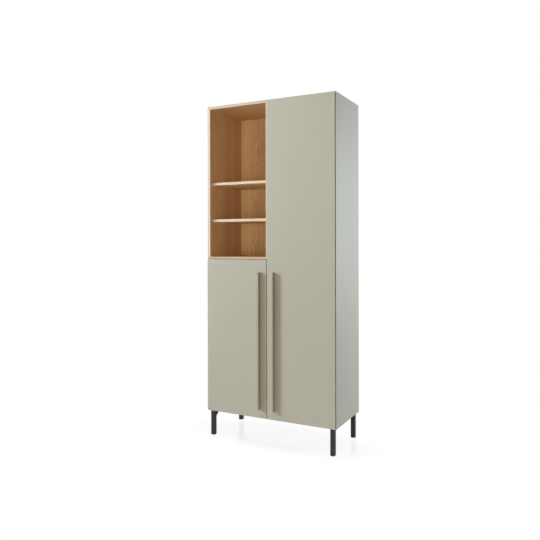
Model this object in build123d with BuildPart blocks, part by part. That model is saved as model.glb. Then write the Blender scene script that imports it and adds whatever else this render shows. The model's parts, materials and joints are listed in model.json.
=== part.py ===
from build123d import *
import os
from math import cos, radians, sin

# Tall two-bay cabinet on four steel legs.
# The left bay has an open oak niche above a short door, the right bay one full-height door.
# Origin: centre of the footprint, on the floor. +X to the viewer's right, +Y to the back, +Z up.
# All sizes are millimetres.

# Driving dimensions of the whole cabinet
width = 832.0
carcass_depth = 390.0
carcass_height = 1850.0
leg_height = 150.0
board = 16.0
liner = 12.0
skin = board - liner

# Doors and the corner where each door meets its side panel
door_thickness = 18.0
door_end_gap = 2.0
door_gap_left = 405.5
door_gap_right = 408.5
left_door_top = 923.0
door_arris = 1.5
door_land = 13.1
panel_edge = 7.0
door_back_gap = 2.0
frame_setback = 20.0

# Softened edges of boards, and how far a cut runs past the face that it opens
door_round = 1.0
board_round = 0.8
lip_round = 0.5
over = 1.0

# Handles
handle_width = 18.0
handle_depth = 32.0
handle_low = 55.0
handle_length = 795.0
handle_from_gap = 38.0
handle_end_screw = 45.0

# Niche and shelves
divider_shift = 4.0
niche_floor_low = 925.0
niche_front = panel_edge
niche_back_thickness = 3.0
niche_shelf_centres = (1157.0, 1380.0)
niche_shelf_front = 33.0
sheet = 4.0
rebate = 6.0
shelf_side_gap = 1.0
bay_shelf_front = 40.0
pin_radius = 2.5
pin_depth = 8.0
pin_reach = 8.0
pin_front = 70.0
pin_back = 340.0
rebate_low = board - rebate
rebate_high = carcass_height - board + rebate

# Places worked out from the dimensions above
front = -(carcass_depth + handle_depth) / 2 + handle_depth
divider_low = (width - board) / 2 + divider_shift
divider_high = divider_low + board
niche_low = niche_floor_low + liner
fixed_shelf_high = niche_floor_low + board
niche_high = carcass_height - board
niche_right = divider_low - liner
back_face = carcass_depth - sheet
niche_back_face = back_face - niche_back_thickness


def at_x(across):
    """Distance from the left outer face to the frame's x."""
    return across - width / 2


def at_y(depth):
    """Depth behind the door fronts to the frame's y."""
    return front + depth


def at_z(height):
    """Height above the carcass underside to the frame's z."""
    return leg_height + height


def slab(across, depth, height, mode=Mode.ADD):
    """A box between two positions along each of the three directions."""
    centre = (at_x(sum(across) / 2), at_y(sum(depth) / 2), at_z(sum(height) / 2))
    with Locations(centre):
        Box(across[1] - across[0], depth[1] - depth[0], height[1] - height[0], mode=mode)


def rod_x(across, depth, height, radius, mode=Mode.ADD):
    """A round bar along X."""
    centre = (at_x(sum(across) / 2), at_y(depth), at_z(height))
    with Locations(Location(centre, (0, 90, 0))):
        Cylinder(radius, across[1] - across[0], mode=mode)


def rod_y(across, depth, height, radius, mode=Mode.ADD):
    """A round bar along Y."""
    centre = (at_x(across), at_y(sum(depth) / 2), at_z(height))
    with Locations(Location(centre, (90, 0, 0))):
        Cylinder(radius, depth[1] - depth[0], mode=mode)


def rod_z(across, depth, height, radius, mode=Mode.ADD):
    """A round bar along Z."""
    centre = (at_x(across), at_y(depth), at_z(sum(height) / 2))
    with Locations(centre):
        Cylinder(radius, height[1] - height[0], mode=mode)


def prism(points, height, mode=Mode.ADD):
    """A plan outline of (across, depth) points, raised between two heights."""
    with BuildSketch(Plane.XY.offset(at_z(height[0]))) as outline:
        with BuildLine():
            Polyline([(at_x(across), at_y(depth)) for across, depth in points], close=True)
        make_face()
    extrude(outline.sketch, amount=height[1] - height[0], mode=mode)


def save(builder, label):
    """Name a finished piece and write it to its own file."""
    builder.part.label = label
    export_step(builder.part, f"parts/{label}.step")


os.makedirs("parts", exist_ok=True)

# Concealed hinges.
# Places are given as (inset, depth): inset from the outer face, depth behind the door fronts.
# Each door turns about a line in its outer face plane, 15 mm behind its front.
cup_inset = 34.0
cup_radius = 17.5
cup_wall = 0.5
cup_pocket = 11.6
cup_floor = 0.6
cup_flange = 1.0
cup_flange_rim = 2.0
cup_wing_length = 62.0
cup_wing_width = 14.0
cup_screw_spread = 24.0
cup_screw_radius = 1.75
cup_screw_length = 12.0
screw_head_radius = 3.4
screw_head = 1.6
link_pivot = (20.2, 10.9)
link_reach = 27.8
link_start_angle = -3.1
link_bow = 6.2
link_thickness = 2.4
link_half_height = 3.5
link_pivot_end = 2.0
link_free_end = 1.6
link_pin_radius = 1.0
link_pin_play = 0.06
arm_half_height = 5.2
arm_fork_gap = 3.7
arm_channel_half = 7.0
arm_back = 78.0
arm_rail_half = 5.0
arm_play = 0.1
plate_depth = (44.0, 70.0)
plate_half_height = 22.0
plate_thickness = 2.0
plate_rail_top = 21.0
plate_rail = (38.0, 76.0)
plate_screw_depth = 57.0
plate_screw_spread = 16.0
plate_screw_radius = 2.0
plate_screw_length = 13.0
left_hinges = (102.0, 823.0)
right_hinges = (102.0, 720.0, 1130.0, 1748.0)


def inset_x(side, inset):
    """Inset from the outer face to a distance across; side is -1 for left and 1 for right."""
    return inset if side < 0 else width - inset


def span(side, inset_low, inset_high):
    """A stretch between two insets, as an increasing pair of distances across."""
    ends = (inset_x(side, inset_low), inset_x(side, inset_high))
    return min(ends), max(ends)


def plan(side, points):
    """(inset, depth) points turned into (across, depth) points."""
    return [(inset_x(side, inset), depth) for inset, depth in points]


def handle_heights():
    """Heights of a handle's screws: one near each end and one in the middle."""
    low = handle_low + handle_end_screw
    high = handle_low + handle_length - handle_end_screw
    return low, (low + high) / 2, high


handle_screw_radius = 2.0
handle_screw_grip = 16.0
handle_round = 0.9


# Side panels

panel_bevel = [
    (-over, panel_edge - over),
    (board + over, panel_edge - over),
    (board + over, panel_edge + board + over),
]


def soften_outside(panel, side):
    """Round the top, bottom and rear edges of a side panel's outer face, and its inner rear edge."""
    outer = 0 if side < 0 else -1
    inner = -1 if side < 0 else 0
    level = panel.edges().filter_by(Axis.Y).group_by(Axis.X)[outer]
    rear_outer = panel.edges().filter_by(Axis.Z).group_by(Axis.X)[outer].sort_by(Axis.Y)[-1]
    rear_inner = panel.edges().filter_by(Axis.Z).group_by(Axis.X)[inner].sort_by(Axis.Y)[-1]
    fillet([*level, rear_outer, rear_inner], radius=board_round)


def hinge_screw_holes(side, heights):
    """Screw holes for the mounting plates in a side panel's inner face."""
    for height in heights:
        for offset in (-plate_screw_spread, plate_screw_spread):
            across = span(side, board - plate_screw_length + plate_thickness, board + over)
            rod_x(across, plate_screw_depth, height + offset, plate_screw_radius, Mode.SUBTRACT)


def pin_holes(across, shelf_undersides):
    """Blind holes for shelf pins between two positions across."""
    for underside in shelf_undersides:
        for depth in (pin_front, pin_back):
            rod_x(across, depth, underside - pin_radius, pin_radius, Mode.SUBTRACT)


# Shelf undersides in each compartment, evenly spaced in the closed bays
def even_shelves(low, high, count):
    """Undersides of shelves that divide a clear height into equal spaces."""
    space = (high - low - count * board) / (count + 1)
    return [low + space + index * (space + board) for index in range(count)]


niche_shelves = [centre - board / 2 for centre in niche_shelf_centres]
left_bay_shelves = even_shelves(board, niche_floor_low, 2)
right_bay_low_shelves = even_shelves(board, niche_floor_low, 2)
right_bay_high_shelves = even_shelves(fixed_shelf_high, niche_high, 2)
right_bay_shelves = right_bay_low_shelves + right_bay_high_shelves

# Dowels, cams and cam bolts that join the panels
dowel_radius = 4.0
dowel_half = 15.0
dowel_in_panel = 11.0
dowel_depths = (100.0, 300.0)
cam_radius = 7.5
cam_depth = 12.5
cam_from_edge = 34.0
cam_depths = (130.0, 280.0)
cam_bolt_radius = 3.5
cam_bolt_play = 0.5


def dowel_x(joint, height, direction, mode=Mode.ADD):
    """A pair of dowels along X over a joint plane; direction points into the side panel."""
    ends = (joint + direction * dowel_in_panel, joint - direction * (2 * dowel_half - dowel_in_panel))
    for depth in dowel_depths:
        rod_x((min(ends), max(ends)), depth, height, dowel_radius, mode)


def dowel_z(across, joint, direction, mode=Mode.ADD):
    """A pair of dowels along Z over a joint plane; direction points into the level panel."""
    ends = (joint + direction * dowel_in_panel, joint - direction * (2 * dowel_half - dowel_in_panel))
    for depth in dowel_depths:
        rod_z(across, depth, (min(ends), max(ends)), dowel_radius, mode)


def cam_bolts(joint, height, direction, mode=Mode.ADD):
    """A pair of bolts along X from an upright panel into a level one; their holes run on to the cams."""
    reach = cam_from_edge if mode == Mode.SUBTRACT else cam_from_edge - cam_radius - cam_bolt_play
    ends = (joint + direction * dowel_in_panel, joint - direction * reach)
    for depth in cam_depths:
        rod_x((min(ends), max(ends)), depth, height, cam_bolt_radius, mode)


def panel_joint(joint, height, direction, mode=Mode.SUBTRACT):
    """The dowels and bolts where a level panel meets an upright one."""
    dowel_x(joint, height, direction, mode)
    cam_bolts(joint, height, direction, mode)


# The cut for the thin backs runs out past the rear edges
rebate_cut = (back_face, carcass_depth + over)

with BuildPart() as side_left:
    slab((0, board), (panel_edge, carcass_depth), (0, carcass_height))
    soften_outside(side_left, -1)
    prism(panel_bevel, (-over, niche_floor_low), Mode.SUBTRACT)
    slab((skin, board + over), (0, back_face), (niche_floor_low, carcass_height + over), Mode.SUBTRACT)
    inner_edge = (board - rebate, board + over)
    slab(inner_edge, rebate_cut, (rebate_low, rebate_high), Mode.SUBTRACT)
    pin_holes((board - pin_depth, board + over), left_bay_shelves)
    hinge_screw_holes(-1, left_hinges)
    panel_joint(board, board / 2, -1)
save(side_left, "side_left")

with BuildPart() as side_right:
    slab((width - board, width), (panel_edge, carcass_depth), (0, carcass_height))
    soften_outside(side_right, 1)
    bevel = [(width - across, depth) for across, depth in panel_bevel]
    prism(bevel, (-over, carcass_height + over), Mode.SUBTRACT)
    inner_edge = (width - board - over, width - board + rebate)
    slab(inner_edge, rebate_cut, (rebate_low, rebate_high), Mode.SUBTRACT)
    pin_holes((width - board - over, width - board + pin_depth), right_bay_shelves)
    hinge_screw_holes(1, right_hinges)
    for joint_height in (board / 2, niche_floor_low + board / 2, carcass_height - board / 2):
        panel_joint(width - board, joint_height, 1)
save(side_right, "side_right")


# Top, bottom and the upright between the bays

leg_screw_radius = 2.5
leg_screw_length = 16.0
leg_plate = 3.0
leg_tube = 25.0
leg_wall = 1.5
leg_round = 2.0
leg_plate_size = 70.0
leg_inset_side = 14.0
leg_inset_front = 16.0
leg_inset_back = 15.0
leg_screw_places = ((20.0, 55.0), (55.0, 20.0), (55.0, 55.0))
leg_gusset_length = 20.0
leg_gusset_height = 35.0
leg_gusset_thickness = 4.0
glide_foot = 3.0
glide_plug = 14.0


def leg_corner(side, rear):
    """Outer corner of a leg, and the signs of the inward directions."""
    across = leg_inset_side if side < 0 else width - leg_inset_side
    depth = carcass_depth - leg_inset_back if rear else leg_inset_front
    return across, depth, -side, -1 if rear else 1


leg_corners = [leg_corner(side, rear) for rear in (False, True) for side in (-1, 1)]


def leg_screws(height, radius, mode=Mode.ADD):
    """The screws of all four legs, as bars between two heights."""
    for across, depth, inward_x, inward_y in leg_corners:
        for step_x, step_y in leg_screw_places:
            rod_z(across + inward_x * step_x, depth + inward_y * step_y, height, radius, mode)


def cams(edge, direction, face, mode=Mode.ADD):
    """Cam fittings let into a level panel's underside, near one end of it."""
    for depth in cam_depths:
        across = edge + direction * cam_from_edge
        rod_z(across, depth, (face, face + cam_depth), cam_radius, mode)


inside = (board - over, width - board + over)

with BuildPart() as bottom_panel:
    slab((board, width - board), (frame_setback, carcass_depth), (0, board))
    slab(inside, rebate_cut, (rebate_low, board + over), Mode.SUBTRACT)
    leg_screws((-over, leg_screw_length - leg_plate), leg_screw_radius, Mode.SUBTRACT)
    panel_joint(board, board / 2, -1)
    panel_joint(width - board, board / 2, 1)
    dowel_z((divider_low + divider_high) / 2, board, -1, Mode.SUBTRACT)
    cams(board, 1, 0, Mode.SUBTRACT)
    cams(width - board, -1, 0, Mode.SUBTRACT)
save(bottom_panel, "bottom_panel")

niche_frame_right = door_gap_right - door_back_gap

with BuildPart() as top_panel:
    skin_height = (carcass_height - skin, carcass_height)
    slab((divider_low, width - board), (frame_setback, carcass_depth), (niche_high, carcass_height))
    slab((board, divider_low), (back_face, carcass_depth), (niche_high, carcass_height))
    slab((skin, niche_frame_right), (niche_front, back_face), skin_height)
    slab((niche_frame_right, divider_low), (frame_setback, back_face), skin_height)
    fillet(top_panel.edges().filter_by(Axis.X).group_by(Axis.Z)[-1].group_by(Axis.Y)[0], radius=lip_round)
    slab(inside, rebate_cut, (niche_high - over, rebate_high), Mode.SUBTRACT)
    panel_joint(width - board, carcass_height - board / 2, 1)
    dowel_z((divider_low + divider_high) / 2, niche_high, 1, Mode.SUBTRACT)
    cams(width - board, -1, niche_high, Mode.SUBTRACT)
save(top_panel, "top_panel")

bay_screw_radius = 2.0
bay_screw_head = 4.0
bay_screw_reach = 10.0
bay_screw_places = ((60.0, 60.0), (340.0, 60.0), (60.0, 880.0), (340.0, 880.0))


def bay_screws(mode=Mode.ADD):
    """Screws that fasten the lower left bay's upright to the divider, flush in its face."""
    for depth, height in bay_screw_places:
        rod_x((niche_right, divider_low + bay_screw_reach), depth, height, bay_screw_radius, mode)
        rod_x((niche_right, niche_right + 2), depth, height, bay_screw_head, mode)


with BuildPart() as divider:
    slab((divider_low, divider_high), (frame_setback, carcass_depth), (board, niche_high))
    fillet(divider.edges().filter_by(Axis.Z).group_by(Axis.Y)[0], radius=lip_round)
    left_edge = (divider_low - over, divider_low + rebate)
    right_edge = (divider_high - rebate, divider_high + over)
    for rear_edge in (left_edge, right_edge):
        slab(rear_edge, rebate_cut, (board - over, niche_high + over), Mode.SUBTRACT)
    pin_holes((divider_high - pin_depth, divider_high + over), right_bay_shelves)
    dowel_z((divider_low + divider_high) / 2, board, -1, Mode.SUBTRACT)
    dowel_z((divider_low + divider_high) / 2, niche_high, 1, Mode.SUBTRACT)
    panel_joint(divider_high, niche_floor_low + board / 2, -1)
    bay_screws(Mode.SUBTRACT)
save(divider, "divider")


# Fixed shelf and adjustable shelves of the closed bays

with BuildPart() as fixed_shelf:
    slab((divider_high, width - board), (frame_setback, back_face), (niche_floor_low, fixed_shelf_high))
    panel_joint(divider_high, niche_floor_low + board / 2, -1)
    panel_joint(width - board, niche_floor_low + board / 2, 1)
    cams(divider_high, 1, niche_floor_low, Mode.SUBTRACT)
    cams(width - board, -1, niche_floor_low, Mode.SUBTRACT)
save(fixed_shelf, "fixed_shelf")


def loose_shelf(label, across, depth, underside):
    """A shelf that rests on four pins, with a small gap at each end."""
    ends = (across[0] + shelf_side_gap, across[1] - shelf_side_gap)
    with BuildPart() as shelf:
        slab(ends, depth, (underside, underside + board))
        fillet(shelf.edges().filter_by(Axis.X).group_by(Axis.Y)[0], radius=board_round)
    save(shelf, label)


shelf_back_gap = 2.0
bay_shelf_depth = (bay_shelf_front, back_face - shelf_back_gap)
for index, underside in enumerate(left_bay_shelves):
    loose_shelf(f"left_bay_shelf_{index + 1}", (board, niche_right), bay_shelf_depth, underside)
for index, underside in enumerate(right_bay_shelves):
    loose_shelf(f"right_bay_shelf_{index + 1}", (divider_high, width - board), bay_shelf_depth, underside)
for index, underside in enumerate(niche_shelves):
    shelf_depth = (niche_shelf_front, niche_back_face - shelf_back_gap / 2)
    loose_shelf(f"niche_shelf_{index + 1}", (board, niche_right), shelf_depth, underside)


# Oak box of the open niche, let into the carcass with its front edges showing

relief_across = (niche_frame_right, divider_low + over)
relief_depth = (niche_front - over, frame_setback)


def niche_side(label, across, relief=None):
    """An upright of the oak box, with the holes of its shelf pins in its inner face."""
    with BuildPart() as upright:
        slab(across, (niche_front, back_face), (niche_low, niche_high))
        front_edges = upright.edges().filter_by(Axis.Z).group_by(Axis.Y)[0].sort_by(Axis.X)
        fillet(front_edges[0 if relief else -1], radius=lip_round)
        if relief:
            slab(relief, relief_depth, (niche_low - over, niche_high + over), Mode.SUBTRACT)
            pin_holes((across[0] - over, across[0] + pin_depth), niche_shelves)
        else:
            pin_holes((across[1] - pin_depth, across[1] + over), niche_shelves)
    save(upright, label)


niche_side("niche_side_left", (skin, board))
niche_side("niche_side_right", (niche_right, divider_low), relief_across)

with BuildPart() as niche_top:
    slab((skin, divider_low), (niche_front, back_face), (niche_high, niche_high + liner))
    fillet(niche_top.edges().filter_by(Axis.X).group_by(Axis.Y)[0].sort_by(Axis.Z)[0], radius=lip_round)
    slab(relief_across, relief_depth, (niche_high - over, carcass_height), Mode.SUBTRACT)
save(niche_top, "niche_top")

with BuildPart() as niche_floor:
    slab((skin, divider_low), (niche_front, back_face), (niche_floor_low, niche_low))
    fillet(niche_floor.edges().filter_by(Axis.X).group_by(Axis.Y)[0].sort_by(Axis.Z)[-1], radius=lip_round)
    slab(relief_across, relief_depth, (niche_floor_low - over, niche_low + over), Mode.SUBTRACT)
save(niche_floor, "niche_floor")

with BuildPart() as niche_back:
    slab((board, niche_right), (niche_back_face, back_face), (niche_low, niche_high))
save(niche_back, "niche_back")


# Upright of the lower left bay, which the left door closes against

with BuildPart() as bay_upright:
    slab((niche_right, divider_low), (frame_setback, back_face), (board, niche_floor_low))
    fillet(bay_upright.edges().filter_by(Axis.Z).group_by(Axis.Y)[0], radius=lip_round)
    pin_holes((niche_right - over, niche_right + pin_depth), left_bay_shelves)
    bay_screws(Mode.SUBTRACT)
save(bay_upright, "bay_upright")

with BuildPart() as bay_upright_screws:
    bay_screws()
save(bay_upright_screws, "bay_upright_screws")


# Thin backs, flush in the rebates of the rear edges

rebate_play = 0.4

with BuildPart() as back_left:
    across = (board - rebate + rebate_play, divider_low + rebate - rebate_play)
    slab(across, (back_face, carcass_depth), (rebate_low, rebate_high))
save(back_left, "back_left")

with BuildPart() as back_right:
    across = (divider_high - rebate + rebate_play, width - board + rebate - rebate_play)
    slab(across, (back_face, carcass_depth), (rebate_low, rebate_high))
save(back_right, "back_right")


# Shelf pins, one group for each compartment

def shelf_pins(label, left_face, right_face, undersides):
    """Round pins in both side walls, each half in the wall and half under the shelf."""
    with BuildPart() as pins:
        for underside in undersides:
            for depth in (pin_front, pin_back):
                height = underside - pin_radius
                rod_x((left_face - pin_depth, left_face + pin_reach), depth, height, pin_radius)
                rod_x((right_face - pin_reach, right_face + pin_depth), depth, height, pin_radius)
    save(pins, label)


shelf_pins("niche_pins", board, niche_right, niche_shelves)
shelf_pins("left_bay_pins", board, niche_right, left_bay_shelves)
shelf_pins("right_bay_pins", divider_high, width - board, right_bay_shelves)


# Dowels and cams that hold the panels together

with BuildPart() as dowels:
    dowel_x(board, board / 2, -1)
    for joint_height in (board / 2, niche_floor_low + board / 2, carcass_height - board / 2):
        dowel_x(width - board, joint_height, 1)
    dowel_x(divider_high, niche_floor_low + board / 2, -1)
    dowel_z((divider_low + divider_high) / 2, board, -1)
    dowel_z((divider_low + divider_high) / 2, niche_high, 1)
save(dowels, "dowels")

with BuildPart() as bolts:
    cam_bolts(board, board / 2, -1)
    for joint_height in (board / 2, niche_floor_low + board / 2, carcass_height - board / 2):
        cam_bolts(width - board, joint_height, 1)
    cam_bolts(divider_high, niche_floor_low + board / 2, -1)
save(bolts, "cam_bolts")

with BuildPart() as cam_locks:
    cams(board, 1, 0)
    cams(width - board, -1, 0)
    cams(width - board, -1, niche_high)
    cams(divider_high, 1, niche_floor_low)
    cams(width - board, -1, niche_floor_low)
save(cam_locks, "cam_locks")


# Doors, with their handles, hinge cups and screws

def door(label, side, free_edge, heights, hinge_heights, handle_across):
    """A slab whose outer edge is bevelled behind a sharp front arris, drilled for its fittings."""
    land_depth = door_land - door_arris
    outline = [
        (inset_x(side, door_arris), 0),
        (inset_x(side, door_land), land_depth),
        (inset_x(side, door_land), door_thickness),
        (free_edge, door_thickness),
        (free_edge, 0),
    ]
    with BuildPart() as panel:
        prism(outline, heights)
        front_edges = panel.edges().filter_by(Axis.X).group_by(Axis.Y)[0]
        free_edges = panel.edges().filter_by(Axis.Z).group_by(Axis.X)[-1 if side < 0 else 0]
        fillet([*front_edges, *free_edges], radius=door_round)
        for height in hinge_heights:
            across = inset_x(side, cup_inset)
            pocket = (door_thickness - cup_pocket, door_thickness + over)
            rod_y(across, pocket, height, cup_radius, Mode.SUBTRACT)
            for offset in (-cup_screw_spread, cup_screw_spread):
                bite = (door_thickness - cup_screw_length, door_thickness + over)
                rod_y(across, bite, height + offset, cup_screw_radius, Mode.SUBTRACT)
        for height in handle_heights():
            rod_y(handle_across, (-over, door_thickness + over), height, handle_screw_radius, Mode.SUBTRACT)
    save(panel, label)


def handle(label, across):
    """A plain upright bar as deep as it stands proud, with softened front arrises."""
    with BuildPart() as bar:
        sides = (across - handle_width / 2, across + handle_width / 2)
        slab(sides, (-handle_depth, 0), (handle_low, handle_low + handle_length))
        front_edges = bar.faces().sort_by(Axis.Y)[0].edges()
        corner_edges = bar.edges().filter_by(Axis.Y)
        fillet([*front_edges, *corner_edges], radius=handle_round)
        for height in handle_heights():
            rod_y(across, (-handle_screw_grip, over), height, handle_screw_radius, Mode.SUBTRACT)
    save(bar, label)


def handle_screws(label, across):
    """Pan-head screws from inside the door into the handle."""
    with BuildPart() as screws:
        for height in handle_heights():
            rod_y(across, (-handle_screw_grip, door_thickness), height, handle_screw_radius)
            rod_y(across, (door_thickness, door_thickness + screw_head), height, 2 * handle_screw_radius)
    save(screws, label)


def hinge_cups(label, side, heights):
    """Pressed cups with a winged flange, open to the back of the door."""
    rim_back = door_thickness + cup_flange
    cavity = (door_thickness - cup_pocket + cup_floor, rim_back + over)
    with BuildPart() as cups:
        for height in heights:
            across = inset_x(side, cup_inset)
            rod_y(across, (door_thickness - cup_pocket, door_thickness), height, cup_radius)
            rod_y(across, (door_thickness, rim_back), height, cup_radius + cup_flange_rim)
            wing = (across - cup_wing_width / 2, across + cup_wing_width / 2)
            reach = (height - cup_wing_length / 2, height + cup_wing_length / 2)
            slab(wing, (door_thickness, rim_back), reach)
            rod_y(across, cavity, height, cup_radius - cup_wall, Mode.SUBTRACT)
            for offset in (-cup_screw_spread, cup_screw_spread):
                through = (door_thickness - over, rim_back + over)
                rod_y(across, through, height + offset, cup_screw_radius, Mode.SUBTRACT)
    save(cups, label)


def cup_screws(label, side, heights):
    """Two screws for each cup, one through each wing."""
    across = inset_x(side, cup_inset)
    rim_back = door_thickness + cup_flange
    with BuildPart() as screws:
        for height in heights:
            for offset in (-cup_screw_spread, cup_screw_spread):
                place = height + offset
                rod_y(across, (door_thickness - cup_screw_length, rim_back), place, cup_screw_radius)
                rod_y(across, (rim_back, rim_back + screw_head), place, screw_head_radius)
    save(screws, label)


# Hinge halves on the side panels

fork_outline = [
    (18.6, 24.0),
    (18.75, 16.0),
    (18.75, 13.0),
    (18.9, 10.9),
    (22.2, 10.9),
    (23.2, 15.0),
    (26.0, 24.0),
]
channel_inset = (18.6, 27.0)
channel_front = 24.0
fork_slot_back = 21.5
fork_slot_across = (15.0, 30.0)


def hinge_arms(label, side, heights):
    """Arms with a forked nose that reaches into the cup and carries the link's pin."""
    pin_across = inset_x(side, link_pivot[0])
    with BuildPart() as arms:
        for height in heights:
            fork = (height - arm_half_height, height + arm_half_height)
            prism(plan(side, fork_outline), fork)
            rod_z(pin_across, link_pivot[1], fork, link_pivot_end)
            channel = (height - arm_channel_half, height + arm_channel_half)
            slab(span(side, *channel_inset), (channel_front, arm_back), channel)
            slot = (height - arm_fork_gap, height + arm_fork_gap)
            slab(span(side, *fork_slot_across), (0, fork_slot_back), slot, Mode.SUBTRACT)
            rail = (height - arm_rail_half - arm_play, height + arm_rail_half + arm_play)
            rail_depth = (plate_rail[0] - arm_play, arm_back + over)
            slab(span(side, fork_slot_across[0], plate_rail_top), rail_depth, rail, Mode.SUBTRACT)
            rod_z(pin_across, link_pivot[1], slot, link_pin_radius)
    save(arms, label)


def hinge_plates(label, side, heights):
    """Mounting plates on the side panels, each with a raised rail for its arm."""
    with BuildPart() as plates:
        for height in heights:
            reach = (height - plate_half_height, height + plate_half_height)
            slab(span(side, board, board + plate_thickness), plate_depth, reach)
            rail = (height - arm_rail_half, height + arm_rail_half)
            slab(span(side, board, plate_rail_top), plate_rail, rail)
            for offset in (-plate_screw_spread, plate_screw_spread):
                through = span(side, board - over, board + plate_thickness + over)
                rod_x(through, plate_screw_depth, height + offset, plate_screw_radius, Mode.SUBTRACT)
    save(plates, label)


def plate_screws(label, side, heights):
    """Two screws for each mounting plate, into the side panel."""
    top = board + plate_thickness
    with BuildPart() as screws:
        for height in heights:
            for offset in (-plate_screw_spread, plate_screw_spread):
                shank = span(side, top - plate_screw_length, top)
                rod_x(shank, plate_screw_depth, height + offset, plate_screw_radius)
                head = span(side, top, top + screw_head)
                rod_x(head, plate_screw_depth, height + offset, screw_head_radius)
    save(screws, label)


def hinge_links(label, side, heights):
    """Bowed links from each arm's pin to the far side of its cup."""
    angle = radians(link_start_angle)
    along = (cos(angle), sin(angle))
    tip = (link_pivot[0] + link_reach * along[0], link_pivot[1] + link_reach * along[1])
    middle = (
        link_pivot[0] + link_reach / 2 * along[0] - link_bow * along[1],
        link_pivot[1] + link_reach / 2 * along[1] + link_bow * along[0],
    )
    places = plan(side, [link_pivot, middle, tip])
    start, bow, end = [(at_x(across), at_y(depth)) for across, depth in places]
    with BuildPart() as links:
        for height in heights:
            with BuildSketch(Plane.XY.offset(at_z(height - link_half_height))):
                with BuildLine():
                    ThreePointArc(start, bow, end)
                trace(line_width=link_thickness)
                with Locations(start):
                    Circle(link_pivot_end)
                with Locations(end):
                    Circle(link_free_end)
                with Locations(start):
                    Circle(link_pin_radius + link_pin_play, mode=Mode.SUBTRACT)
            extrude(amount=2 * link_half_height)
    save(links, label)


door_middle = (door_gap_left + door_gap_right) / 2
left_handle_across = door_middle - handle_from_gap - handle_width / 2
right_handle_across = door_middle + handle_from_gap + handle_width / 2
left_span = (door_end_gap, left_door_top)
right_span = (door_end_gap, carcass_height - door_end_gap)

door("left_door", -1, door_gap_left, left_span, left_hinges, left_handle_across)
door("right_door", 1, door_gap_right, right_span, right_hinges, right_handle_across)

door_sets = (
    ("left", -1, left_hinges, left_handle_across),
    ("right", 1, right_hinges, right_handle_across),
)
for name, side, heights, handle_across in door_sets:
    handle(f"{name}_handle", handle_across)
    handle_screws(f"{name}_handle_screws", handle_across)
    hinge_cups(f"{name}_hinge_cups", side, heights)
    cup_screws(f"{name}_cup_screws", side, heights)
    hinge_arms(f"{name}_hinge_arms", side, heights)
    hinge_plates(f"{name}_hinge_plates", side, heights)
    plate_screws(f"{name}_plate_screws", side, heights)
    hinge_links(f"{name}_hinge_links", side, heights)


# Soft dots that the doors close on

bumper_radius = 3.0
bumper_play = 0.1
bumper_inset = 6.0
left_bumper_across = niche_right + lip_round + bumper_radius
right_bumper_across = divider_high - bumper_inset
left_bumper_heights = (40.0, 885.0)
right_bumper_heights = (40.0, 925.0, 1810.0)

with BuildPart() as door_bumpers:
    bumper_depth = (door_thickness + bumper_play, frame_setback)
    for height in left_bumper_heights:
        rod_y(left_bumper_across, bumper_depth, height, bumper_radius)
    for height in right_bumper_heights:
        rod_y(right_bumper_across, bumper_depth, height, bumper_radius)
save(door_bumpers, "door_bumpers")


# Legs: square tube under a screwed plate, stiffened by a gusset on the inward diagonal

def leg(label, corner):
    """One leg, standing on its plastic glide."""
    across, depth, inward_x, inward_y = corner

    def ordered(start, direction, low, high):
        ends = (start + direction * low, start + direction * high)
        return min(ends), max(ends)

    tube = (glide_foot - leg_height, -leg_plate)
    with BuildPart() as post:
        slab(ordered(across, inward_x, 0, leg_tube), ordered(depth, inward_y, 0, leg_tube), tube)
        fillet(post.edges().filter_by(Axis.Z), radius=leg_round)
        hollow_x = ordered(across, inward_x, leg_wall, leg_tube - leg_wall)
        hollow_y = ordered(depth, inward_y, leg_wall, leg_tube - leg_wall)
        slab(hollow_x, hollow_y, (tube[0] - over, tube[1] + over), Mode.SUBTRACT)
        plate_x = ordered(across, inward_x, 0, leg_plate_size)
        plate_y = ordered(depth, inward_y, 0, leg_plate_size)
        slab(plate_x, plate_y, (-leg_plate, 0))
        for step_x, step_y in leg_screw_places:
            place = (across + inward_x * step_x, depth + inward_y * step_y)
            rod_z(*place, (-leg_plate - over, over), leg_screw_radius, Mode.SUBTRACT)
        start = leg_tube - leg_wall / 2
        origin = (at_x(across + inward_x * start), at_y(depth + inward_y * start), at_z(-leg_plate))
        upright = Plane(origin=origin, x_dir=(inward_x, inward_y, 0), z_dir=(inward_y, -inward_x, 0))
        with BuildSketch(upright):
            with BuildLine():
                Polyline([(0, 0), (leg_gusset_length, 0), (0, -leg_gusset_height)], close=True)
            make_face()
        extrude(amount=leg_gusset_thickness / 2, both=True)
    save(post, label)


for corner, name in zip(leg_corners, ("front_left", "front_right", "back_left", "back_right")):
    leg(f"leg_{name}", corner)

with BuildPart() as leg_fasteners:
    leg_screws((-leg_plate, leg_screw_length - leg_plate), leg_screw_radius)
    leg_screws((-leg_plate - screw_head, -leg_plate), 2 * leg_screw_radius)
save(leg_fasteners, "leg_screws")

with BuildPart() as glides:
    for across, depth, inward_x, inward_y in leg_corners:
        centre_x = across + inward_x * leg_tube / 2
        centre_y = depth + inward_y * leg_tube / 2
        heights = (-leg_height, glide_foot - leg_height, glide_plug - leg_height)
        for half, low, high in ((leg_tube / 2, *heights[:2]), (leg_tube / 2 - leg_wall, *heights[1:])):
            slab((centre_x - half, centre_x + half), (centre_y - half, centre_y + half), (low, high))
save(glides, "leg_glides")
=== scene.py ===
import json
import math

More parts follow.
